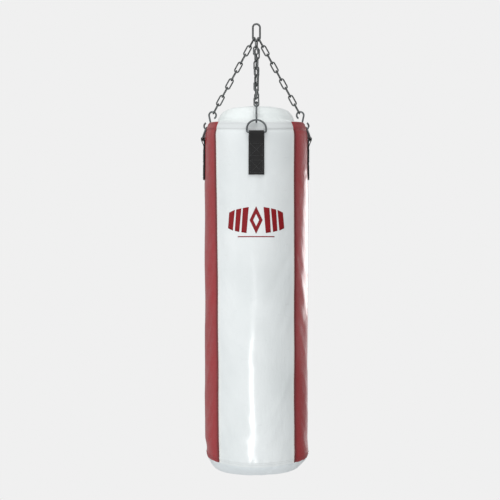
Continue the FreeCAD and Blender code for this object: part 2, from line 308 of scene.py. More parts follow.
def vinyl(name, base, shade, scuff, roughness=0.42, coat=0.6, coat_roughness=0.19, edge=None):
    """Coated synthetic leather: pebble grain, faint creases, uneven gloss and light scuffing.

    A panel also has colour painted along its seams, painted shade on red and a painted highlight on white,
    and painted shade in the hem band, where its mesh marks them.
    """
    n = Nodes(name)
    tone = n.span(n.noise(5.0, 4.0), 0.35, 0.7, 0.0, 1.0)
    body = n.mix(tone, base, shade)
    streaks = n.noise(1.0, 5.0, 0.65, n.scaled(n.object, (26.0, 26.0, 70.0)))
    worn = n.span(streaks, 0.62, 0.78, 0.0, 0.35)
    skin = n.mix(worn, body, scuff)
    if edge is not None:
        # Painted shade in the seam grooves of red panels and a painted highlight along the seam edges of
        # white panels, where the seam attribute is set.
        skin = n.mix(n.math("MULTIPLY", n.attribute("seam"), 0.85), skin, edge)
        # Painted shade in the hem band below the rim, on every panel, where the hem attribute is set.
        skin = n.mix(n.attribute("hem"), skin, darker(base, 0.86))
    n.surface(Base_Color=skin)
    gloss = n.span(n.noise(38.0, 3.0), 0.3, 0.7, roughness - 0.07, roughness + 0.09)
    n.surface(Roughness=gloss, Coat_Weight=coat, Coat_Roughness=coat_roughness, IOR=1.5)
    pebble = n.span(n.voronoi(620.0, "DISTANCE_TO_EDGE"), 0.0, 0.22, 0.0, 1.0)
    crease = n.span(n.noise(1.0, 4.0, 0.6, n.scaled(n.object, (70.0, 70.0, 34.0))), 0.35, 0.65, 0.0, 1.0)
    grain = n.bump(pebble, 0.00022, 0.55)
    fine = n.bump(n.noise(2600.0, 2.0), 0.00008, 0.4, grain)
    n.surface(Normal=n.bump(crease, 0.0011, 0.35, fine))
    return n.material


def webbing(name, base, light):
    """Woven nylon belt: fine ribs across, twill along, slightly fuzzy. UV is in metres along and across."""
    n = Nodes(name)
    ribs = n.tree.nodes.new("ShaderNodeTexWave")
    ribs.wave_type, ribs.bands_direction = "BANDS", "X"
    n.fill(ribs, {"Vector": n.uv, "Scale": 150.0, "Distortion": 0.4})
    warp = n.tree.nodes.new("ShaderNodeTexWave")
    warp.wave_type, warp.bands_direction = "BANDS", "Y"
    n.fill(warp, {"Vector": n.uv, "Scale": 230.0, "Distortion": 0.3})
    weave = n.math("MULTIPLY", ribs.outputs["Fac"], warp.outputs["Fac"])
    fuzz = n.noise(1800.0, 3.0)
    tone = n.math("ADD", n.math("MULTIPLY", weave, 0.55), n.math("MULTIPLY", fuzz, 0.45))
    n.surface(Base_Color=n.mix(n.span(tone, 0.1, 0.9, 0.0, 1.0), base, light), Roughness=0.78,
              Sheen_Weight=0.2, Sheen_Roughness=0.45)
    n.surface(Normal=n.bump(fuzz, 0.0002, 0.5, n.bump(weave, 0.0007, 0.9)))
    return n.material


def thread(name, base):
    """Twisted sewing thread."""
    n = Nodes(name)
    twist = n.noise(4200.0, 2.0)
    n.surface(Base_Color=n.mix(twist, base, darker(base, 0.72)), Roughness=0.6,
              Sheen_Weight=0.2)
    n.surface(Normal=n.bump(twist, 0.00015, 0.6))
    return n.material


def steel(name, base, dark, roughness):
    """Zinc-plated wire: satin, with dull patches, drawn streaks and darker rubbed-in dirt."""
    n = Nodes(name)
    cloud = n.noise(120.0, 4.0, 0.6)
    spangle = n.span(n.voronoi(900.0), 0.0, 0.8, 0.0, 0.35)
    grime = n.span(n.noise(260.0, 5.0, 0.7), 0.5, 0.68, 0.0, 0.75)
    tone = n.mix(spangle, base, lighter(base, 1.25))
    n.surface(Base_Color=n.mix(grime, tone, dark), Metallic=1.0)
    n.surface(Roughness=n.span(cloud, 0.3, 0.7, roughness - 0.08, roughness + 0.14))
    scratch = n.noise(1.0, 3.0, 0.6, n.scaled(n.object, (900.0, 900.0, 260.0)))
    n.surface(Normal=n.bump(scratch, 0.0001, 0.35, n.bump(cloud, 0.0004, 0.25)))
    return n.material


def print_ink(name, base):
    """Screen-printed ink: almost flat, slightly patchy, over the vinyl's grain."""
    n = Nodes(name)
    patch = n.noise(60.0, 4.0)
    n.surface(Base_Color=n.mix(n.span(patch, 0.4, 0.7, 0.0, 0.6), base, lighter(base, 1.2)))
    n.surface(Roughness=n.span(patch, 0.3, 0.7, 0.38, 0.52), Specular_IOR_Level=0.25)
    pebble = n.span(n.voronoi(620.0, "DISTANCE_TO_EDGE"), 0.0, 0.22, 0.0, 1.0)
    n.surface(Normal=n.bump(pebble, 0.00018, 0.45))
    return n.material


def plain_cloth(name, base, scale):
    """Plain weave for tape and linings."""
    n = Nodes(name)
    weave = n.math("MULTIPLY", n.voronoi(scale), n.noise(scale * 0.8, 2.0))
    tone = n.mix(n.span(weave, 0.0, 0.4, 0.0, 1.0), darker(base, 0.7), base)
    n.surface(Base_Color=tone, Roughness=0.85, Sheen_Weight=0.25)
    n.surface(Normal=n.bump(weave, 0.0004, 0.7))
    return n.material


# The white panels' edge colour is a painted highlight along their seams.
white_vinyl = vinyl("white_vinyl", colour(230, 235, 236), colour(220, 226, 227), colour(198, 203, 204),
                    edge=colour(253, 252, 246))
# The red panels' edge colour, the last one given, is painted shade in their seam grooves.
red_vinyl = vinyl("red_vinyl", colour(156, 26, 34), colour(146, 22, 29), colour(160, 46, 50),
                  0.5, 0.42, 0.12, colour(80, 8, 12))
cover_vinyl = vinyl("cover_vinyl", colour(240, 245, 245), colour(232, 239, 238), colour(214, 220, 219),
                    0.5, 0.3, 0.25)
cap_vinyl = vinyl("cap_vinyl", colour(226, 233, 236), colour(216, 224, 227), colour(198, 205, 208),
                  0.5, 0.3, 0.25)
strap_cloth = webbing("strap_webbing", colour(12, 12, 13), colour(32, 32, 33))
strap_thread = thread("strap_thread", colour(74, 74, 76))
white_thread = thread("white_thread", colour(226, 229, 229))
red_thread = thread("red_thread", colour(142, 46, 50))
chain_steel = steel("chain_steel", colour(102, 105, 105), colour(52, 53, 53), 0.36)
hook_steel = steel("hook_steel", colour(112, 116, 118), colour(56, 57, 58), 0.32)
ring_steel = steel("ring_steel", colour(106, 110, 112), colour(52, 53, 54), 0.3)
link_steel = steel("link_steel", colour(104, 107, 107), colour(54, 55, 55), 0.34)
zip_steel = steel("zip_steel", colour(168, 170, 172), colour(90, 91, 92), 0.26)
emblem_ink = print_ink("emblem_ink", colour(132, 8, 20))
zip_cloth = plain_cloth("zip_cloth", colour(214, 219, 219), 1500.0)
core_cloth = plain_cloth("core_cloth", colour(120, 118, 112), 700.0)
tooth_plastic = print_ink("tooth_plastic", colour(206, 211, 211))


# ------------------------------------------------------------------ the wall's surface
def rim_height(theta):
    """The rim rises a little where the side chains pull it up, and sags at the front and back."""
    return RIM_Z - 0.005 - 0.009 * np.cos(2 * np.radians(theta))


def base_radius(z):
    """The wall's plain outline: straight, tucked in at the bottom and rounded in to the rim."""
    drop = BAG_RADIUS - RIM_RADIUS
    rise = RIM_Z - SHOULDER_Z
    curve = (drop ** 2 + rise ** 2) / (2 * drop)
    up = np.clip(z - SHOULDER_Z, 0, rise)
    shoulder = curve - np.sqrt(curve ** 2 - up ** 2)
    tuck = BAG_RADIUS - SEAM_RADIUS
    low = np.clip((TUCK_Z - z) / (TUCK_Z - SEAM_Z), 0, 1)
    return BAG_RADIUS - shoulder - tuck * low ** 2


def ripple(theta, z, count, height, phase):
    """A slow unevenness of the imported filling."""
    a = np.radians(theta)
    return np.sin(count * a + phase + 9.0 * z) * np.sin(2 * np.pi * z / height + 1.7 * phase)


def drift(theta, z):
    """How far the two front seams stray from their marked azimuths."""
    down = np.clip((RIM_Z - z) / (RIM_Z - SEAM_Z), 0, 1)
    left = (-3.9 + 9.4 * down - 3.9 * down ** 2) * np.clip(1 - np.abs(around(theta, -FRONT_HALF)) / 40, 0, 1)
    right = -1.4 * np.clip(1 - np.abs(around(theta, FRONT_HALF)) / 40, 0, 1)
    return left + right


class Relief:
    """Radial offsets of the simulated vinyl on a regular grid of azimuth and height."""

    def __init__(self, values, low, high):
        self.values, self.low, self.high = values, low, high

    @staticmethod
    def weights(t):
        """Cubic B-spline weights of the four nearest samples."""
        return ((1 - t) ** 3 / 6, (3 * t ** 3 - 6 * t ** 2 + 4) / 6,
                (-3 * t ** 3 + 3 * t ** 2 + 3 * t + 1) / 6, t ** 3 / 6)

    def at(self, theta, z):
        rows, columns = self.values.shape
        theta, z = np.broadcast_arrays(np.asarray(theta, float), np.asarray(z, float))
        u = (theta % 360.0) / 360.0 * columns
        v = np.clip((z - self.low) / (self.high - self.low), 0, 1) * (rows - 1)
        iu, iv = np.floor(u).astype(int), np.floor(v).astype(int)
        result = np.zeros(theta.shape)
        for row, across in enumerate(self.weights(v - iv), start=-1):
            for column, along in enumerate(self.weights(u - iu), start=-1):
                sample = self.values[np.clip(iv + row, 0, rows - 1), (iu + column) % columns]
                result += across * along * sample
        return result


def simulate_wall(rows=118, columns=130, frames=22, cap=0.0055):
    """Cloth under the filling's pressure, cut a little large and held at its seams, hems and straps."""
    low, high = SEAM_Z, RIM_Z - HEM_DEPTH
    theta = np.arange(columns) * 360.0 / columns
    z = np.linspace(low, high, rows)
    grid_t, grid_z = np.meshgrid(theta, z)
    start = polar(grid_t, base_radius(grid_z) - 0.001, grid_z)
    jitter = np.random.default_rng(3).normal(0, 0.0004, grid_t.shape)
    cloth_points = start + jitter[..., None] * polar(grid_t, 1.0, 0 * grid_z)
    thing = grid_object("wall_cloth", cloth_points, white_vinyl, wrap=True)
    held = np.zeros(grid_t.shape)
    for seam in SEAMS:
        held = np.maximum(held, np.abs(around(grid_t, seam)) < 180.0 / columns)
    for side in SIDES.values():
        near = (np.abs(around(grid_t, side)) < 8.5) & (grid_z > STRAP_LOW.z - 0.004)
        held = np.maximum(held, near)
    held[0] = held[-1] = 1.0
    group = thing.vertex_groups.new(name="held")
    for index in np.flatnonzero(held.ravel() > 0):
        group.add([int(index)], 1.0, "REPLACE")
    cloth = thing.modifiers.new("cloth", "CLOTH")
    settings = cloth.settings
    settings.quality = 6
    settings.mass = 0.6
    settings.tension_stiffness = settings.compression_stiffness = 40
    settings.shear_stiffness = 12
    settings.bending_stiffness = 0.6
    settings.shrink_min = -0.012
    settings.vertex_group_mass = "held"
    settings.use_pressure = True
    settings.uniform_pressure_force = 3.0
    settings.effector_weights.gravity = 0.35
    cloth.collision_settings.use_collision = False
    scene = bpy.context.scene
    for frame_number in range(1, frames + 1):
        scene.frame_set(frame_number)
    evaluated = thing.evaluated_get(bpy.context.evaluated_depsgraph_get())
    moved = np.zeros(len(evaluated.data.vertices) * 3)
    evaluated.data.vertices.foreach_get("co", moved)
    moved = moved.reshape(rows, columns, 3)
    scene.frame_set(1)
    bpy.data.objects.remove(thing)
    offsets = np.hypot(moved[..., 0], moved[..., 1]) - np.hypot(start[..., 0], start[..., 1])
    offsets -= np.median(offsets)
    return Relief(np.clip(offsets, -cap, cap), low, high)


def wall_radius(theta, z):
    """Outer radius of the finished wall, at heights measured on the undisturbed bag."""
    arc = np.radians(1.0) * BAG_RADIUS
    radius = base_radius(z)
    radius = radius + 0.0009 * ripple(theta, z, 5, 0.62, 0.4) + 0.0007 * ripple(theta, z, 9, 0.37, 2.1)
    if relief is not None:
        radius = radius + RELIEF_GAIN * relief.at(theta, z) * smooth(RIM_Z, RIM_Z - 0.05, z)
    hem = RIM_Z - HEM_DEPTH
    radius = radius + 0.0012 * smooth(hem - 0.001, hem + 0.006, z) - 0.0012 * bump(z - hem, 0.0045)
    dent = smooth(-1.400, -1.442, z) * bump(around(theta, 270.0), 34.0)
    radius = radius - 0.0068 * dent + 0.0022 * bump(around(theta, 90.0), 60.0) * smooth(-1.395, -1.445, z)
    for seam in SEAMS:
        away = around(theta, seam + drift(seam, z)) * arc
        radius = radius - 0.0011 * bump(away, 0.005) + 0.0002 * np.sin(z / 0.0023) * bump(away, 0.013)
    nudge = smooth(-1.150, -1.125, z) * smooth(-1.045, -1.07, z)
    away = around(theta, -4.5) * arc
    radius = radius - 0.0011 * away / 0.02 * bump(away, 0.03) * nudge
    for side in SIDES.values():
        away = around(theta, side) * arc
        by_hook = smooth(RIM_Z - 0.045, RIM_Z - 0.008, z)
        radius = radius - 0.0125 * bump(away, 0.018) * by_hook
        by_strap = smooth(STRAP_LOW.z - 0.02, STRAP_LOW.z, z)
        radius = radius - 0.0008 * smooth(0.034, 0.02, np.abs(away)) * by_strap
        tug = smooth(STRAP_LOW.z - 0.12, STRAP_LOW.z, z) * smooth(STRAP_LOW.z + 0.02, STRAP_LOW.z, z)
        radius = radius + 0.0008 * np.cos(away / 0.0065) * bump(away, 0.024) * tug
    radius = radius + 0.0009 * smooth(SEAM_Z + 0.020, SEAM_Z + 0.015, z)
    gather = smooth(SEAM_Z + 0.05, SEAM_Z, z)
    radius = radius + 0.0004 * gather * np.sin(np.radians(theta) * 31 + 1.3 * np.sin(np.radians(theta) * 4))
    return radius


def foot_rise(theta):
    """The foot of the wall is drawn up towards the sides of the bag."""
    return 0.0075 * (1 - np.cos(np.radians(theta)) ** 4)


def wall_point(theta, z, proud=0.0):
    """A point on the wall. Heights near the rim and the foot are drawn up or down with them."""
    lift = (rim_height(theta) - RIM_Z) * smooth(RIM_Z - 0.16, RIM_Z, z)
    lift = lift + 0.0007 * np.sin(np.radians(theta) * 31 + 0.8) * smooth(SEAM_Z + 0.06, SEAM_Z, z)
    lift = lift + foot_rise(theta) * smooth(SEAM_Z + 0.12, SEAM_Z, z)
    return polar(theta, wall_radius(theta, z) + proud, z + lift)


# ------------------------------------------------------------------ sewing
def stitches(name, path, normal, pitch, thickness, material, body, slot, duty=0.72):
    """A row of thread stitches along a path of points, each a short arched strand on the surface."""
    path, normal = np.asarray(path, float), np.asarray(normal, float)
    step = np.linalg.norm(np.diff(path, axis=0), axis=1)
    length = np.concatenate([[0.0], np.cumsum(step)])
    count = max(1, int(length[-1] / pitch))
    ring = np.linspace(0, 2 * np.pi, 6, endpoint=False)
    profile = ((-0.5, 0.35, -0.35), (-0.36, 0.85, 0.15), (0.0, 1.0, 0.45),
               (0.36, 0.85, 0.15), (0.5, 0.35, -0.35))    # place along the stitch, girth, rise
    points, faces = [], []

    def sample(distance):
        return (np.array([np.interp(distance, length, path[:, i]) for i in range(3)]),
                np.array([np.interp(distance, length, normal[:, i]) for i in range(3)]))

    for index in range(count):
        middle = (index + 0.5) * length[-1] / count
        half = pitch * duty / 2
        here, up = sample(middle)
        ahead, _ = sample(min(length[-1], middle + half))
        behind, _ = sample(max(0.0, middle - half))
        along = ahead - behind
        size = np.linalg.norm(along)
        if size < 1e-6:
            continue
        along = along / size
        up = up - along * up.dot(along)
        up = up / np.linalg.norm(up)
        side = np.cross(along, up)
        first = len(points)
        for place, scale, rise in profile:
            centre = here + along * place * size + up * rise * thickness
            for angle in ring:
                points.append(centre + (side * np.cos(angle) + up * np.sin(angle)) * thickness / 2 * scale)
        rings = len(profile)
        for r in range(rings - 1):
            for k in range(6):
                n = (k + 1) % 6
                a = first + r * 6
                faces.append((a + k, a + n, a + 6 + n, a + 6 + k))
        faces.append(tuple(first + k for k in range(5, -1, -1)))
        faces.append(tuple(first + (rings - 1) * 6 + k for k in range(6)))
    thing = mesh_object(name, points, faces, material)
    return piece(thing, body, slot)


def wall_stitches(name, theta, z, material, slot):
    """Stitches on the wall along azimuths and heights."""
    theta, z = np.broadcast_arrays(np.asarray(theta, float), np.asarray(z, float))
    theta = theta + drift(theta, z)
    path = wall_point(theta, z, 0.0002)
    return stitches(name, path, polar(theta, 1.0, 0 * z), SEAM_STITCH, SEAM_THREAD, material, "bag", slot)


# ------------------------------------------------------------------ panels
def panel(side, low, high, material, slot):
    """One vinyl panel: folded over at the rim, turned in along its seams and hemmed at the bottom."""
    theta = graded(low, high, 1.7, 4.0, 14)
    z = graded(SEAM_Z, RIM_Z, 0.006, 0.036, 18)
    grid_t, grid_z = np.meshgrid(theta, z)
    edge = np.minimum(grid_t - low, high - grid_t) * np.radians(1.0) * BAG_RADIUS
    turn = 0.0024 * (1 - np.sqrt(1 - np.clip(1 - edge / 0.0024, 0, 1) ** 2))
    actual = grid_t + drift(grid_t, grid_z)
    wall = wall_point(actual, grid_z, -turn)
    roll = []
    for angle in np.radians((30, 60, 90, 120, 150, 180)):
        roll.append((0.0019 * (1 - np.cos(angle)), 0.0019 * np.sin(angle)))
    roll += [(0.0038, -0.004), (0.0038, -0.009)]
    top = wall[-1]
    out = polar(actual[-1], 1.0, 0.0)
    fold = [top - out * inward + np.array([0, 0, rise]) for inward, rise in roll]
    hem = [wall[0] - out * inward - np.array([0, 0, fall])
           for inward, fall in ((0.0022, 0.0014), (0.0006, 0.0011))]
    grid = np.concatenate([np.array(hem), wall, np.array(fold)])
    thing = grid_object(f"panel_{side}_skin", grid, material)
    # Masks for painted light: seam places painted shade on red and a painted highlight on white along the
    # panel's edges; band places painted shade in the hem band below the rim.
    seam = np.broadcast_to(bump(edge[:1], 0.008), grid.shape[:2])
    band = smooth(RIM_Z - HEM_DEPTH - 0.001, RIM_Z - HEM_DEPTH + 0.004, grid_z)
    band = np.pad(band, ((len(hem), len(fold)), (0, 0)), mode="edge")
    for label, values in (("seam", seam), ("hem", band)):
        data = thing.data.attributes.new(label, "FLOAT", "POINT").data
        data.foreach_set("value", values.ravel().astype(np.float32))
    thicken(thing, SKIN)
    return piece(thing, "bag", slot, f"panel_{side}")


def panels():
    edges = {"front": (-FRONT_HALF, FRONT_HALF), "right": (FRONT_HALF, 180 - FRONT_HALF),
             "back": (180 - FRONT_HALF, 180 + FRONT_HALF), "left": (180 + FRONT_HALF, 360 - FRONT_HALF)}
    gap = 0.06
    for side, (low, high) in edges.items():
        white = side in ("front", "back")
        material, slot = (white_vinyl, "white_vinyl") if white else (red_vinyl, "red_vinyl")
        panel(side, low + gap, high - gap, material, slot)
        colour_thread = white_thread if white else red_thread
        for name, theta in (("low", low + 1.9), ("high", high - 1.9)):
            z = np.linspace(SEAM_Z + 0.004, RIM_Z - 0.002, 260)
            wall_stitches(f"seam_stitches_{side}_{name}", theta, z, colour_thread, slot)
        across = np.linspace(low + 2.4, high - 2.4, 120)
        for name, z in (("hem_low", RIM_Z - HEM_DEPTH + 0.0045), ("hem_high", RIM_Z - 0.004),
                        ("foot", SEAM_Z + 0.007), ("foot_upper", SEAM_Z + 0.013)):
            wall_stitches(f"{name}_stitches_{side}", across, z, colour_thread, slot)


def core():
    """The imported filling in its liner, a little inside the skin and closed at both ends."""
    heights = np.linspace(SEAM_Z - 0.028, RIM_Z - 0.006, 60)
    outline = [(0.0005, SEAM_Z - 0.034), (0.06, SEAM_Z - 0.033), (0.11, SEAM_Z - 0.031)]
    inside = np.clip(heights, SEAM_Z + 0.01, RIM_Z - 0.012)
    shrink = 0.012 + 0.02 * smooth(RIM_Z - 0.04, RIM_Z, heights)
    shrink = shrink + 0.022 * smooth(SEAM_Z + 0.01, SEAM_Z - 0.028, heights)
    outline += list(zip(base_radius(inside) - shrink, heights))
    outline += [(0.115, RIM_Z + 0.002), (0.1, RIM_Z + 0.03),
                (0.08, CROWN_Z - 0.012), (0.0005, CROWN_Z - 0.009)]
    outline = np.array(outline)
    theta = np.linspace(0, 360, 72, endpoint=False)
    radius = outline[:, :1] + 0.0012 * ripple(theta, outline[:, 1:], 6, 0.11, 0.7) * (outline[:, :1] > 0.08)
    press = sum(bump(around(theta, side) * np.radians(1.0) * BAG_RADIUS, 0.022) for side in SIDES.values())
    near_rim = smooth(RIM_Z - 0.06, RIM_Z - 0.02, outline[:, 1:]) * (outline[:, :1] > 0.13)
    radius = radius - 0.012 * press * near_rim
    thing = grid_object("packed_core", polar(theta, radius, outline[:, 1:]), core_cloth, wrap=True)
    return piece(thing, "bag", "filling", "foam_liner", "filling", "top_pad", "base_pad")


# ------------------------------------------------------------------ top cover and bottom cap
CROWN_RADIUS = (COVER_KNEE ** 2 + KNEE_DROP ** 2) / (2 * KNEE_DROP)


def crown_height(radius):
    return CROWN_Z - CROWN_RADIUS + np.sqrt(CROWN_RADIUS ** 2 - radius ** 2)


def top_cover():
    """Domed cover: a level flange sewn in at the rim, a soft upright side, and a shallow crown."""
    flat = [(r, crown_height(r)) for r in (0.0006, 0.02, 0.04, 0.06, 0.08, COVER_KNEE - 0.004)]
    edge = [(0.112, -0.2985), (0.1212, -0.309), (0.1272, -0.3205), (0.1293, -0.329), (0.1322, -0.3352),
            (0.1385, -0.3383), (0.148, -0.3398), (0.155, -0.3412), (0.159, -0.3442), (0.1597, -0.351)]
    outline = curve(flat + edge, 96)[::-1]
    theta = np.linspace(0, 360, 288, endpoint=False)
    r, z = outline[:, :1], outline[:, 1:]
    a = np.radians(theta)
    reach = wall_radius(theta, np.full(theta.shape, RIM_Z)) - 0.0048
    spread = smooth(0.130, 0.159, r)
    radius = r + spread * (reach - 0.1597)
    height = z + (rim_height(theta) - RIM_Z + 0.0005) * smooth(0.131, 0.156, r)
    gathers = np.sin(37 * a + 1.9 * np.sin(3 * a)) + 0.6 * np.sin(61 * a + 1.1 * np.sin(5 * a) + 1.0)
    height = height + 0.0005 * gathers * smooth(0.160, 0.150, r) * smooth(0.128, 0.142, r)
    side = smooth(0.102, 0.122, r) * smooth(0.140, 0.128, r)
    radius = radius + 0.00018 * gathers * side
    slow = np.sin(3 * a + 0.6) + 0.7 * np.sin(5 * a + 2.2)
    radius = radius + 0.0011 * slow * side
    for centre, width, depth in COVER_FOLDS:
        fold = bump(around(theta, centre), width)
        radius = radius - depth * fold * smooth(0.095, 0.12, r) * smooth(0.150, 0.13, r)
        height = height - 0.6 * depth * fold * smooth(0.07, 0.1, r) * smooth(0.128, 0.112, r)
    for centre in SIDES.values():
        near = bump(around(theta, centre) * np.radians(1.0) * 0.155, 0.020)
        height = height - 0.0035 * near * smooth(0.136, 0.150, r)
    points = polar(theta, radius, height)
    x, y = points[..., 0], points[..., 1]
    clear = 1 - smooth(0.030, 0.018, np.abs(y - ZIP_Y)) * smooth(0.112, 0.094, np.abs(x))
    sag = 0.0030 * bump(np.hypot(x - 0.012, y + 0.028), 0.05)
    sag = sag + 0.0022 * bump(np.hypot(x + 0.04, y + 0.075), 0.028)
    creases = 0.0007 * np.sin(70 * x + 46 * y + 5 * np.sin(31 * y)) + 0.0005 * np.sin(-52 * x + 83 * y)
    points[..., 2] -= clear * smooth(0.108, 0.09, np.hypot(x, y)) * (sag + creases)
    thing = grid_object("top_cover_skin", points, cover_vinyl, wrap=True)
    thicken(thing, SKIN)
    piece(thing, "bag", "cover_vinyl", "top_cover")
    seam = points[np.argmin(np.abs(r[:, 0] - 0.1552))]
    closed = np.vstack([seam, seam[:1]])
    up = np.zeros_like(closed)
    up[:, 2] = 1.0
    stitches("flange_stitches", closed, up, SEAM_STITCH, SEAM_THREAD, white_thread, "bag", "cover_vinyl")


def bottom_cap():
    """Shallow domed base, gathered a little where it is sewn inside the wall's foot."""
    profile = [(0.1706, SEAM_Z + 0.009), (0.1706, SEAM_Z + 0.001), (0.1682, SEAM_Z - 0.006),
               (0.1612, SEAM_Z - 0.0145), (0.1502, SEAM_Z - 0.0235), (0.1302, CAP_KNEE),
               (0.104, CAP_Z + 0.0042), (0.065, CAP_Z + 0.0012), (0.03, CAP_Z + 0.0003), (0.0006, CAP_Z)]
    outline = curve(profile, 80)
    theta = np.linspace(0, 360, 288, endpoint=False)
    r, z = outline[:, :1], outline[:, 1:]
    a = np.radians(theta)
    gathers = np.sin(31 * a + 0.8) + 0.5 * np.sin(47 * a + 2.0 * np.sin(4 * a))
    edge = smooth(0.118, 0.160, r)
    radius = r + (wall_radius(theta, np.full(theta.shape, SEAM_Z)) - SEAM_RADIUS) * smooth(0.15, 0.168, r)
    radius = radius + 0.0007 * gathers * edge * smooth(SEAM_Z + 0.009, SEAM_Z - 0.004, z)
    height = z + 0.0009 * gathers * edge * smooth(SEAM_Z - 0.002, SEAM_Z - 0.012, z)
    height = height + 0.0016 * np.sin(2 * a + 1.0) * smooth(0.168, 0.14, r) * smooth(0.05, 0.12, r)
    height = height + foot_rise(theta) * smooth(0.14, 0.168, r)
    points = polar(theta, radius, height)
    x, y = points[..., 0], points[..., 1]
    points[..., 2] += 0.0006 * (1 + np.sin(60 * x + 35 * y + 4 * np.sin(28 * x))) * smooth(0.15, 0.11, r)
    thing = grid_object("bottom_cap_skin", points, cap_vinyl, wrap=True, flip=True)
    thicken(thing, SKIN)
    return piece(thing, "bag", "cap_vinyl", "bottom_cap")


# ------------------------------------------------------------------ straps
def strap_path():
    """Heights, distances and flatness along the webbing: up inside, round the ring bar, down outside."""
    bar, turn = RING_BAR_RADIUS, BAR_EYE + WEBBING / 2
    rise = np.linspace(STRAP_LOW.z, BAR_Z - STRAP_THROAT, 22)
    rows = [(z, WEBBING / 2 + 0.0003, None, 0.0) for z in rise]
    rows += [(BAR_Z - STRAP_THROAT * (1 - t), None, bar - turn, smooth(0.0, 0.7, t))
             for t in (0.3, 0.55, 0.8)]
    rows += [(BAR_Z + turn * math.sin(q), None, bar - turn * math.cos(q), 1.0)
             for q in np.radians(np.linspace(0, 180, 15))]
    outer = 1.5 * WEBBING + 0.0005
    for t in (0.12, 0.25, 0.4, 0.55, 0.7, 0.85):
        out = bar + turn + (BAG_RADIUS + outer - bar - turn) * smooth(0, 1, t)
        rows.append((BAR_Z - STRAP_THROAT * t, None, out, 1 - smooth(0.3, 1.0, t)))
    rows += [(z, outer, None, 0.0) for z in rise[::-1]]
    return rows


def strap(side):
    azimuth = SIDES[side]
    out, along = polar(azimuth, 1.0, 0.0), polar(azimuth + 90, 1.0, 0.0)
    half = STRAP_WIDTH / 2
    across = np.concatenate([[-half], np.linspace(-half + 0.0009, half - 0.0009, 13), [half]])
    theta = azimuth + np.degrees(across / BAG_RADIUS)
    sheet = []
    for z, offset, distance, flat in strap_path():
        z_row = np.full(theta.shape, z)
        if distance is None:
            sheet.append(polar(theta, wall_radius(theta, z_row) + offset, z_row))
        else:
            straight = out * distance + along * across[:, None] + np.array([0, 0, z])
            bent = polar(theta, distance, z_row)
            sheet.append(straight * flat + bent * (1 - flat))
    sheet = np.array(sheet)
    lengthways, sideways = np.gradient(sheet, axis=0), np.gradient(sheet, axis=1)
    normal = np.cross(sideways, lengthways)
    normal /= np.linalg.norm(normal, axis=-1, keepdims=True)
    inner = slice(1, -1)
    edge = WEBBING / 2 * 0.55
    outer_face = sheet[:, inner] + normal[:, inner] * WEBBING / 2
    inner_face = sheet[:, inner] - normal[:, inner] * WEBBING / 2
    ring = [outer_face, sheet[:, -1:] + normal[:, -1:] * edge, sheet[:, -1:] - normal[:, -1:] * edge,
            inner_face[:, ::-1], sheet[:, :1] - normal[:, :1] * edge, sheet[:, :1] + normal[:, :1] * edge]
    grid = np.concatenate(ring, axis=1)
    rows, columns = grid.shape[:2]
    run = np.concatenate([[0.0], np.cumsum(np.linalg.norm(np.diff(sheet[:, 7], axis=0), axis=1))])
    width = np.concatenate([across[inner], [half, half], across[inner][::-1], [-half, -half]])
    uv = np.stack(np.broadcast_arrays(run[:, None], width[None, :]), axis=-1).reshape(-1, 2)
    faces = [tuple(f) for f in grid_faces(rows, columns, wrap=True)]
    faces += [tuple(range(columns - 1, -1, -1)), tuple((rows - 1) * columns + k for k in range(columns))]
    thing = mesh_object(f"strap_{side}_webbing", grid.reshape(-1, 3), faces, strap_cloth, uv)
    piece(thing, "bag", "strap_webbing", f"strap_{side}")

    def face(u, z):
        """A point on the strap's outer face, u across from its middle."""
        t = azimuth + np.degrees(u / BAG_RADIUS)
        return polar(t, wall_radius(t, z) + 2 * WEBBING + 0.0007, z)

    for low, high in STRAP_BOXES:
        wide = half - 0.005
        corners = [(-wide, low), (wide, low), (wide, high), (-wide, high), (-wide, low), (wide, high),
                   (wide, low), (-wide, high)]
        for number, (start, end) in enumerate(zip(corners[:5] + corners[6:7], corners[1:6] + corners[7:8])):
            t = np.linspace(0, 1, 24)
            u = start[0] + (end[0] - start[0]) * t
            z = STRAP_LOW.z + start[1] + (end[1] - start[1]) * t
            name = f"strap_{side}_box_{int(low * 1000)}_{number}"
            stitches(name, face(u, z), polar(np.full(u.shape, azimuth), 1.0, 0 * z), 0.0034, FINE_THREAD,
                     strap_thread, "bag", "strap_webbing")


# ------------------------------------------------------------------ zip
def on_zip(distance, across, lift):
    """A point over the zip: distance along its arc from the middle, across it, and off the cover."""
    distance, across, lift = np.broadcast_arrays(distance, across, lift)
    radius = math.sqrt(CROWN_RADIUS ** 2 - ZIP_Y ** 2) + lift
    angle = distance / CROWN_RADIUS
    height = CROWN_Z - CROWN_RADIUS + radius * np.cos(angle)
    return np.stack([radius * np.sin(angle), ZIP_Y + across, height], axis=-1)


def zip_teeth():
    """Closed coil: short blocks from either side that meet over the middle of the tape."""
    points, faces = [], []
    section = ((-0.0026, 0.0002), (-0.0026, 0.0014), (-0.0019, 0.0018),
               (0.0004, 0.0018), (0.0011, 0.0013), (0.0011, 0.0002))
    count = len(section)
    for index in range(int(2 * (ZIP_HALF - 0.004) / TOOTH_PITCH)):
        centre = -ZIP_HALF + 0.004 + (index + 0.5) * TOOTH_PITCH
        for sign in (-1, 1):
            first = len(points)
            at = centre + sign * TOOTH_PITCH / 4
            for end, shrink in ((-0.00055, 0.86), (-0.0003, 1.0), (0.0003, 1.0), (0.00055, 0.86)):
                points += [on_zip(at + end, -sign * u * shrink, 0.00152 + h * shrink) for u, h in section]
            faces += [tuple(face + first) for face in grid_faces(4, count, wrap=True)]
            faces.append(tuple(first + k for k in range(count - 1, -1, -1)))
            faces.append(tuple(first + 3 * count + k for k in range(count)))
    teeth = mesh_object("zip_teeth", np.array(points), faces, tooth_plastic)
    tidy_normals(teeth)
    piece(teeth, "bag", "zip_metal")


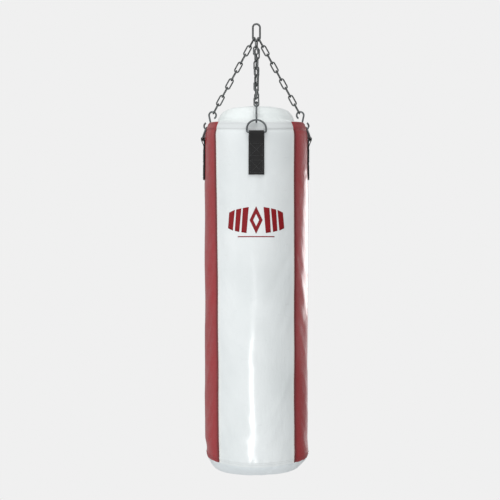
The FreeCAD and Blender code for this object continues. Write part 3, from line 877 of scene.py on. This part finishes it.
def zip_fastener():
    """Woven tape with a closed moulded coil, topstitched to the cover and bar-tacked at both ends."""
    length = np.linspace(-ZIP_HALF, ZIP_HALF, 90)
    reach = np.array([0.0012, 0.0026, 0.006, 0.009, ZIP_TAPE_HALF - 0.0006, ZIP_TAPE_HALF])
    rise = np.array([0.0012, 0.0015, 0.00155, 0.0015, 0.0014, 0.0005])
    across = np.concatenate([-reach[::-1], reach])
    lift = np.concatenate([rise[::-1], rise])
    wavy = 0.0001 * np.sin(900 * length)[:, None] * (np.abs(across) > 0.005)
    tape = on_zip(length[:, None], across[None, :], lift[None, :] + wavy)
    thing = grid_object("zip_tape", tape, zip_cloth)
    thicken(thing, 0.0008)
    piece(thing, "bag", "zip_tape", "zipper_tape")
    zip_teeth()
    run = np.linspace(-ZIP_HALF + 0.003, ZIP_HALF - 0.003, 40)
    for name, side in (("front", -1), ("back", 1)):
        path = on_zip(run, side * 0.0098, 0.0017)
        up = np.tile([0.0, 0.0, 1.0], (len(run), 1))
        stitches(f"zip_{name}_stitches", path, up, 0.0036, FINE_THREAD, white_thread, "bag", "zip_tape")
    for name, place in (("left", -ZIP_HALF + 0.0022), ("right", ZIP_HALF - 0.0022)):
        run = np.linspace(-0.0095, 0.0095, 12)
        path = on_zip(place, run, 0.0018)
        up = np.tile([0.0, 0.0, 1.0], (len(run), 1))
        stitches(f"zip_{name}_tack", path, up, 0.0014, SEAM_THREAD, white_thread, "bag", "zip_tape", 0.9)


def tidy_normals(thing):
    """Point every face outward."""
    mesh = bmesh.new()
    mesh.from_mesh(thing.data)
    bmesh.ops.recalc_face_normals(mesh, faces=mesh.faces)
    mesh.to_mesh(thing.data)
    mesh.free()


# ------------------------------------------------------------------ printed mark
def emblem():
    """A plain printed mark: a lozenge between tapering bars, over a thin line."""
    shapes = []
    for sign in (-1, 1):
        for inner, outer, low, high in EMBLEM_BARS:
            low, high = low * EMBLEM_HALF, high * EMBLEM_HALF
            corners = [(inner + EMBLEM_SLANT, -low), (outer + EMBLEM_SLANT * 0.4, -high),
                       (outer - EMBLEM_SLANT * 0.4, high), (inner - EMBLEM_SLANT * 0.2, low)]
            shapes.append([(sign * u, v) for u, v in corners])
    tip = EMBLEM_HALF * 1.06
    lozenge = [(0.0, -tip), (0.021, 0.0), (0.0, tip), (-0.021, 0.0)]
    for k in range(4):
        a, b = np.array(lozenge[k]), np.array(lozenge[(k + 1) % 4])
        shapes.append([a * EMBLEM_HOLE, a, b, b * EMBLEM_HOLE])
    low, high = -EMBLEM_HALF - 0.013, -EMBLEM_HALF - 0.0096
    shapes.append([(-0.060, low), (0.060, low), (0.060, high), (-0.060, high)])
    points, faces = [], []
    count = 10
    for a, b, c, d in (np.array(shape) for shape in shapes):
        s = np.linspace(0, 1, count)
        low, high = a[None] + (b - a)[None] * s[:, None], d[None] + (c - d)[None] * s[:, None]
        patch = low[None] + (high - low)[None] * s[:, None, None]
        theta = EMBLEM_THETA + np.degrees(patch[..., 0] / BAG_RADIUS)
        placed = wall_point(theta, EMBLEM_Z + patch[..., 1], 0.0003)
        first = len(points)
        points += list(placed.reshape(-1, 3))
        quads = grid_faces(count, count) + first
        normal = np.cross(placed[0, 1] - placed[0, 0], placed[1, 0] - placed[0, 0])
        turn = normal.dot(polar(theta[0, 0], 1.0, 0.0))
        faces += [tuple(q) for q in (quads if turn > 0 else quads[:, ::-1])]
    thing = mesh_object("printed_mark", np.array(points), faces, emblem_ink)
    thicken(thing, 0.0002)
    return piece(thing, "bag", "red_vinyl")


# ------------------------------------------------------------------ the object
relief = simulate_wall()
core()
panels()
top_cover()
bottom_cap()
for name in SIDES:
    strap(name)
zip_fastener()
emblem()

STEELS = {"chain": chain_steel, "s_hook": hook_steel, "d_ring": ring_steel, "first": link_steel,
          "second": link_steel, "master": link_steel, "zipper_slider": zip_steel, "zipper_pull": zip_steel}
for name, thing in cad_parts.items():
    for start, material in STEELS.items():
        if name.startswith(start):
            for slot in thing.material_slots:
                slot.material = material


# ------------------------------------------------------------------ stage, light and camera
def floor():
    """Pale floor under the bag, fading into the background towards its edge."""
    n = Nodes("floor")
    place = n.add("ShaderNodeSeparateXYZ", Vector=n.object)
    far = n.math("SQRT", n.math("ADD", n.math("POWER", place.outputs["X"], 2.0),
                                n.math("POWER", place.outputs["Y"], 2.0)))
    grain = n.noise(30.0, 2.0)
    n.surface(Base_Color=n.mix(grain, colour(236, 236, 236), colour(232, 232, 232)), Roughness=0.85)
    n.surface(Alpha=n.span(far, 0.35, FLOOR_RADIUS, 1.0, 0.0))
    rings = np.linspace(0.001, FLOOR_RADIUS, 24)
    theta = np.linspace(0, 360, 96, endpoint=False)
    grid = polar(theta, rings[:, None], np.full((24, 1), FLOOR_Z))
    grid_object("floor", grid, n.material, wrap=True, flip=True)


def softbox(name, place, target, width, height, power):
    light = bpy.data.lights.new(name, "AREA")
    light.shape = "RECTANGLE"
    light.size, light.size_y = width, height
    light.energy = power
    thing = bpy.data.objects.new(name, light)
    thing.location = place
    thing.rotation_euler = (Vector(target) - Vector(place)).to_track_quat("-Z", "Y").to_euler()
    thing.visible_camera = False
    bpy.context.scene.collection.objects.link(thing)


def studio():
    """A plain background to the camera, and a soft gradient of light to everything else."""
    world = bpy.data.worlds.new("studio")
    bpy.context.scene.world = world
    world.use_nodes = True
    tree = world.node_tree
    tree.nodes.clear()
    direction = tree.nodes.new("ShaderNodeTexCoord").outputs["Generated"]
    toward = tree.nodes.new("ShaderNodeVectorMath")
    toward.operation = "DOT_PRODUCT"
    tree.links.new(direction, toward.inputs[0])
    toward.inputs[1].default_value = WORLD_TOWARD
    level = tree.nodes.new("ShaderNodeMapRange")
    tree.links.new(toward.outputs["Value"], level.inputs["Value"])
    for socket, number in zip(list(level.inputs)[1:5], (-1.0, 1.0, WORLD_DARK, WORLD_BRIGHT)):
        socket.default_value = number
    lit = tree.nodes.new("ShaderNodeBackground")
    tree.links.new(level.outputs["Result"], lit.inputs["Strength"])
    seen = tree.nodes.new("ShaderNodeBackground")
    seen.inputs["Color"].default_value = BACKDROP
    seen.inputs["Strength"].default_value = 1.0
    path = tree.nodes.new("ShaderNodeLightPath")
    mix = tree.nodes.new("ShaderNodeMixShader")
    tree.links.new(path.outputs["Is Camera Ray"], mix.inputs["Fac"])
    tree.links.new(lit.outputs["Background"], mix.inputs[1])
    tree.links.new(seen.outputs["Background"], mix.inputs[2])
    output = tree.nodes.new("ShaderNodeOutputWorld")
    tree.links.new(mix.outputs["Shader"], output.inputs["Surface"])


def camera():
    data = bpy.data.cameras.new("camera")
    data.sensor_width = 36.0
    data.lens = CAMERA_LENS
    data.shift_x, data.shift_y = CAMERA_SHIFT
    data.clip_end = 50.0
    thing = bpy.data.objects.new("camera", data)
    thing.location = CAMERA_PLACE
    thing.rotation_euler = (math.pi / 2, 0.0, 0.0)
    bpy.context.scene.collection.objects.link(thing)
    bpy.context.scene.camera = thing


floor()
studio()
for box in SOFTBOXES:
    softbox(*box)
camera()
bpy.context.scene.view_settings.view_transform = "Standard"
bpy.context.view_layer.update()
